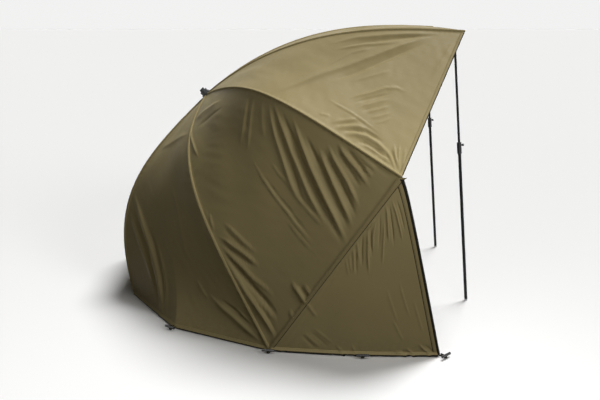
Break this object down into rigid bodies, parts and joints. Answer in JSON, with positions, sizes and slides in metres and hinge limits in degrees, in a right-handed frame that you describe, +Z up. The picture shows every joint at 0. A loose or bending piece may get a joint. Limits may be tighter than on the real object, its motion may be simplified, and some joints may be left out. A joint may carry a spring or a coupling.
{
  "type": "fishing umbrella",
  "caption": "Folding fishing umbrella shelter with a tilted telescopic mast, sliding runner, ribs and stretchers, side wings, adjustable storm poles and ground pegs.",
  "frame": {"origin": "the point at ground level where the mast's spike goes into the ground", "axes": "+X towards the open front, +Y towards the left side of someone looking out, +Z up; the mast leans back in the XZ plane"},
  "size_m": [1.8129, 2.4698, 1.5682],
  "materials": {
    "coated_nylon": "satin",
    "fibreglass": "satin",
    "black_tube": "satin",
    "steel": "satin",
    "moulded_plastic": "satin"
  },
  "bodies": {
    "mast_lower": {"mast_lower_tube": "black_tube", "mast_ground_spike": "steel"},
    "boss_and_mast": {"boss": "moulded_plastic", "boss_hinge_wire": "steel", "mast_upper_tube": "black_tube", "mast_collar": "moulded_plastic"},
    "boss_cap": {"boss_cap": "moulded_plastic"},
    "mast_thumbscrew": {"mast_thumbscrew": "moulded_plastic"},
    "runner": {"runner": "moulded_plastic", "runner_hinge_wire": "steel"},
    "rib_front_right": {"rib_front_right": "fibreglass", "canopy_front_right": "coated_nylon", "storm_pole_clip_right": "moulded_plastic"},
    "stretcher_front_right": {"stretcher_front_right": "black_tube"},
    "rib_side_right": {"rib_side_right": "fibreglass", "canopy_side_right": "coated_nylon"},
    "stretcher_side_right": {"stretcher_side_right": "black_tube"},
    "rib_back_right": {"rib_back_right": "fibreglass", "canopy_back_right": "coated_nylon"},
    "stretcher_back_right": {"stretcher_back_right": "black_tube"},
    "rib_rear_right": {"rib_rear_right": "fibreglass", "canopy_rear_right": "coated_nylon"},
    "stretcher_rear_right": {"stretcher_rear_right": "black_tube"},
    "rib_rear_left": {"rib_rear_left": "fibreglass", "canopy_rear_left": "coated_nylon"},
    "stretcher_rear_left": {"stretcher_rear_left": "black_tube"},
    "rib_back_left": {"rib_back_left": "fibreglass", "canopy_back_left": "coated_nylon"},
    "stretcher_back_left": {"stretcher_back_left": "black_tube"},
    "rib_side_left": {"rib_side_left": "fibreglass", "canopy_side_left": "coated_nylon"},
    "stretcher_side_left": {"stretcher_side_left": "black_tube"},
    "rib_front_left": {"rib_front_left": "fibreglass", "canopy_front_left": "coated_nylon", "storm_pole_clip_left": "moulded_plastic"},
    "stretcher_front_left": {"stretcher_front_left": "black_tube"},
    "wing_right": {"wing_right": "coated_nylon"},
    "storm_pole_right": {"storm_pole_rod_right": "black_tube"},
    "storm_pole_lower_right": {"storm_pole_tube_right": "black_tube", "storm_pole_collar_right": "moulded_plastic", "storm_pole_spike_right": "steel"},
    "storm_pole_lock_screw_right": {"storm_pole_lock_screw_right": "moulded_plastic"},
    "peg_wing_front_right": {"peg_wing_front_right": "moulded_plastic"},
    "peg_wing_middle_right": {"peg_wing_middle_right": "moulded_plastic"},
    "peg_back_foot_right": {"peg_back_foot_right": "moulded_plastic"},
    "peg_back_middle_right": {"peg_back_middle_right": "moulded_plastic"},
    "wing_left": {"wing_left": "coated_nylon"},
    "storm_pole_left": {"storm_pole_rod_left": "black_tube"},
    "storm_pole_lower_left": {"storm_pole_tube_left": "black_tube", "storm_pole_collar_left": "moulded_plastic", "storm_pole_spike_left": "steel"},
    "storm_pole_lock_screw_left": {"storm_pole_lock_screw_left": "moulded_plastic"},
    "peg_wing_front_left": {"peg_wing_front_left": "moulded_plastic"},
    "peg_wing_middle_left": {"peg_wing_middle_left": "moulded_plastic"},
    "peg_back_foot_left": {"peg_back_foot_left": "moulded_plastic"},
    "peg_back_middle_left": {"peg_back_middle_left": "moulded_plastic"}
  },
  "joints": [
    {"name": "boss_cap_turn", "type": "hinge", "parent": "boss_and_mast", "child": "boss_cap", "pos_m": [-1.05624, 0, 1.02], "axis": [0.7193, 0, -0.6947], "range_deg": [0, 360]},
    {"name": "mast_slide", "type": "slide", "parent": "mast_lower", "child": "boss_and_mast", "axis": [0.7193, 0, -0.6947], "range_m": [0, 0.38]},
    {"name": "mast_thumbscrew_turn", "type": "hinge", "parent": "boss_and_mast", "child": "mast_thumbscrew", "pos_m": [-0.3369, 0, 0.32534], "axis": [0.6947, 0, 0.7193], "range_deg": [0, 360]},
    {"name": "runner_slide", "type": "slide", "parent": "boss_and_mast", "child": "runner", "axis": [0.7193, 0, -0.6947], "range_m": [0, 0.21]},
    {"name": "rib_front_right_fold", "type": "hinge", "parent": "boss_and_mast", "child": "rib_front_right", "pos_m": [-1.03195, -0.01148, 1.03507], "axis": [0.2658, 0.9239, 0.2753], "range_deg": [0, 58.53], "deforming": ["canopy_front_right"]},
    {"name": "stretcher_front_right_swing", "type": "hinge", "parent": "runner", "child": "stretcher_front_right", "pos_m": [-0.92909, -0.01148, 0.93574], "axis": [0.2658, 0.9239, 0.2753], "range_deg": [-39.99, 0]},
    {"name": "rib_side_right_fold", "type": "hinge", "parent": "boss_and_mast", "child": "rib_side_right", "pos_m": [-1.04323, -0.02772, 1.0234], "axis": [0.6418, 0.3827, 0.6646], "range_deg": [0, 56.05], "deforming": ["canopy_side_right"]},
    {"name": "stretcher_side_right_swing", "type": "hinge", "parent": "runner", "child": "stretcher_side_right", "pos_m": [-0.94037, -0.02772, 0.92406], "axis": [0.6418, 0.3827, 0.6646], "range_deg": [-36.05, 0]},
    {"name": "rib_back_right_fold", "type": "hinge", "parent": "boss_and_mast", "child": "rib_back_right", "pos_m": [-1.05918, -0.02772, 1.00688], "axis": [0.6418, -0.3827, 0.6646], "range_deg": [0, 50.19], "deforming": ["canopy_back_right"]},
    {"name": "stretcher_back_right_swing", "type": "hinge", "parent": "runner", "child": "stretcher_back_right", "pos_m": [-0.95632, -0.02772, 0.90754], "axis": [0.6418, -0.3827, 0.6646], "range_deg": [-34.35, 0]},
    {"name": "rib_rear_right_fold", "type": "hinge", "parent": "boss_and_mast", "child": "rib_rear_right", "pos_m": [-1.07046, -0.01148, 0.9952], "axis": [0.2658, -0.9239, 0.2753], "range_deg": [0, 66.05], "deforming": ["canopy_rear_right"]},
    {"name": "stretcher_rear_right_swing", "type": "hinge", "parent": "runner", "child": "stretcher_rear_right", "pos_m": [-0.96759, -0.01148, 0.89586], "axis": [0.2658, -0.9239, 0.2753], "range_deg": [-32.28, 0]},
    {"name": "rib_rear_left_fold", "type": "hinge", "parent": "boss_and_mast", "child": "rib_rear_left", "pos_m": [-1.07046, 0.01148, 0.9952], "axis": [-0.2658, -0.9239, -0.2753], "range_deg": [0, 66.05], "deforming": ["canopy_rear_left"]},
    {"name": "stretcher_rear_left_swing", "type": "hinge", "parent": "runner", "child": "stretcher_rear_left", "pos_m": [-0.96759, 0.01148, 0.89586], "axis": [-0.2658, -0.9239, -0.2753], "range_deg": [-32.28, 0]},
    {"name": "rib_back_left_fold", "type": "hinge", "parent": "boss_and_mast", "child": "rib_back_left", "pos_m": [-1.05918, 0.02772, 1.00688], "axis": [-0.6418, -0.3827, -0.6646], "range_deg": [0, 50.19], "deforming": ["canopy_back_left"]},
    {"name": "stretcher_back_left_swing", "type": "hinge", "parent": "runner", "child": "stretcher_back_left", "pos_m": [-0.95632, 0.02772, 0.90754], "axis": [-0.6418, -0.3827, -0.6646], "range_deg": [-34.35, 0]},
    {"name": "rib_side_left_fold", "type": "hinge", "parent": "boss_and_mast", "child": "rib_side_left", "pos_m": [-1.04323, 0.02772, 1.0234], "axis": [-0.6418, 0.3827, -0.6646], "range_deg": [0, 56.05], "deforming": ["canopy_side_left"]},
    {"name": "stretcher_side_left_swing", "type": "hinge", "parent": "runner", "child": "stretcher_side_left", "pos_m": [-0.94037, 0.02772, 0.92406], "axis": [-0.6418, 0.3827, -0.6646], "range_deg": [-36.05, 0]},
    {"name": "rib_front_left_fold", "type": "hinge", "parent": "boss_and_mast", "child": "rib_front_left", "pos_m": [-1.03195, 0.01148, 1.03507], "axis": [-0.2658, 0.9239, -0.2753], "range_deg": [0, 58.53], "deforming": ["canopy_front_left"]},
    {"name": "stretcher_front_left_swing", "type": "hinge", "parent": "runner", "child": "stretcher_front_left", "pos_m": [-0.92909, 0.01148, 0.93574], "axis": [-0.2658, 0.9239, -0.2753], "range_deg": [-39.99, 0]},
    {"name": "wing_right_fold", "type": "hinge", "parent": "rib_side_right", "child": "wing_right", "pos_m": [-0.11903, -1.18718, 0.79856], "axis": [0.6686, 0.6077, -0.4285], "range_deg": [0, 73.91], "deforming": ["wing_right"]},
    {"name": "storm_pole_right_swing", "type": "hinge", "parent": "rib_front_right", "child": "storm_pole_right", "pos_m": [0.20769, -0.46174, 1.34909], "axis": [0.2974, 0.9547, 0.008], "range_deg": [0, 77.21]},
    {"name": "storm_pole_right_slide", "type": "slide", "parent": "storm_pole_right", "child": "storm_pole_lower_right", "axis": [-0.0844, 0.0179, 0.9963], "range_m": [0, 0.4201]},
    {"name": "storm_pole_lock_screw_right_turn", "type": "hinge", "parent": "storm_pole_lower_right", "child": "storm_pole_lock_screw_right", "pos_m": [0.25304, -0.47136, 0.81395], "axis": [0.9964, 0.0015, 0.0844], "range_deg": [0, 360]},
    {"name": "peg_wing_front_right_pull", "type": "slide", "parent": "mast_lower", "child": "peg_wing_front_right", "axis": [0.2876, -0.2876, 0.9135], "range_m": [0, 0.22]},
    {"name": "peg_wing_middle_right_pull", "type": "slide", "parent": "mast_lower", "child": "peg_wing_middle_right", "axis": [0, -0.4067, 0.9135], "range_m": [0, 0.22]},
    {"name": "peg_back_foot_right_pull", "type": "slide", "parent": "mast_lower", "child": "peg_back_foot_right", "axis": [-0.0603, -0.4022, 0.9135], "range_m": [0, 0.22]},
    {"name": "peg_back_middle_right_pull", "type": "slide", "parent": "mast_lower", "child": "peg_back_middle_right", "axis": [-0.244, -0.3254, 0.9135], "range_m": [0, 0.22]},
    {"name": "wing_left_fold", "type": "hinge", "parent": "rib_side_left", "child": "wing_left", "pos_m": [-0.11903, 1.18718, 0.79856], "axis": [-0.6686, 0.6077, 0.4285], "range_deg": [0, 73.91], "deforming": ["wing_left"]},
    {"name": "storm_pole_left_swing", "type": "hinge", "parent": "rib_front_left", "child": "storm_pole_left", "pos_m": [0.20769, 0.46174, 1.34909], "axis": [-0.2974, 0.9547, -0.008], "range_deg": [0, 77.21]},
    {"name": "storm_pole_left_slide", "type": "slide", "parent": "storm_pole_left", "child": "storm_pole_lower_left", "axis": [-0.0844, -0.0179, 0.9963], "range_m": [0, 0.4201]},
    {"name": "storm_pole_lock_screw_left_turn", "type": "hinge", "parent": "storm_pole_lower_left", "child": "storm_pole_lock_screw_left", "pos_m": [0.25304, 0.47136, 0.81395], "axis": [0.9964, -0.0015, 0.0844], "range_deg": [0, 360]},
    {"name": "peg_wing_front_left_pull", "type": "slide", "parent": "mast_lower", "child": "peg_wing_front_left", "axis": [0.2876, 0.2876, 0.9135], "range_m": [0, 0.22]},
    {"name": "peg_wing_middle_left_pull", "type": "slide", "parent": "mast_lower", "child": "peg_wing_middle_left", "axis": [0, 0.4067, 0.9135], "range_m": [0, 0.22]},
    {"name": "peg_back_foot_left_pull", "type": "slide", "parent": "mast_lower", "child": "peg_back_foot_left", "axis": [-0.0603, 0.4022, 0.9135], "range_m": [0, 0.22]},
    {"name": "peg_back_middle_left_pull", "type": "slide", "parent": "mast_lower", "child": "peg_back_middle_left", "axis": [-0.244, 0.3254, 0.9135], "range_m": [0, 0.22]}
  ],
  "couplings": [
    {"joint": "rib_front_right_fold", "follows": "runner_slide", "rad_per_m": 4.8633},
    {"joint": "stretcher_front_right_swing", "follows": "runner_slide", "rad_per_m": -3.3228},
    {"joint": "rib_side_right_fold", "follows": "runner_slide", "rad_per_m": 4.6579},
    {"joint": "stretcher_side_right_swing", "follows": "runner_slide", "rad_per_m": -2.995},
    {"joint": "rib_back_right_fold", "follows": "runner_slide", "rad_per_m": 4.1704},
    {"joint": "stretcher_back_right_swing", "follows": "runner_slide", "rad_per_m": -2.8545},
    {"joint": "rib_rear_right_fold", "follows": "runner_slide", "rad_per_m": 5.4883},
    {"joint": "stretcher_rear_right_swing", "follows": "runner_slide", "rad_per_m": -2.682},
    {"joint": "rib_rear_left_fold", "follows": "runner_slide", "rad_per_m": 5.4883},
    {"joint": "stretcher_rear_left_swing", "follows": "runner_slide", "rad_per_m": -2.682},
    {"joint": "rib_back_left_fold", "follows": "runner_slide", "rad_per_m": 4.1704},
    {"joint": "stretcher_back_left_swing", "follows": "runner_slide", "rad_per_m": -2.8545},
    {"joint": "rib_side_left_fold", "follows": "runner_slide", "rad_per_m": 4.6579},
    {"joint": "stretcher_side_left_swing", "follows": "runner_slide", "rad_per_m": -2.995},
    {"joint": "rib_front_left_fold", "follows": "runner_slide", "rad_per_m": 4.8633},
    {"joint": "stretcher_front_left_swing", "follows": "runner_slide", "rad_per_m": -3.3228},
    {"joint": "wing_right_fold", "follows": "runner_slide", "rad_per_m": 6.1421},
    {"joint": "storm_pole_right_swing", "follows": "runner_slide", "rad_per_m": 6.416},
    {"joint": "storm_pole_right_slide", "follows": "runner_slide", "ratio": 2},
    {"joint": "wing_left_fold", "follows": "runner_slide", "rad_per_m": 6.1421},
    {"joint": "storm_pole_left_swing", "follows": "runner_slide", "rad_per_m": 6.416},
    {"joint": "storm_pole_left_slide", "follows": "runner_slide", "ratio": 2}
  ]
}
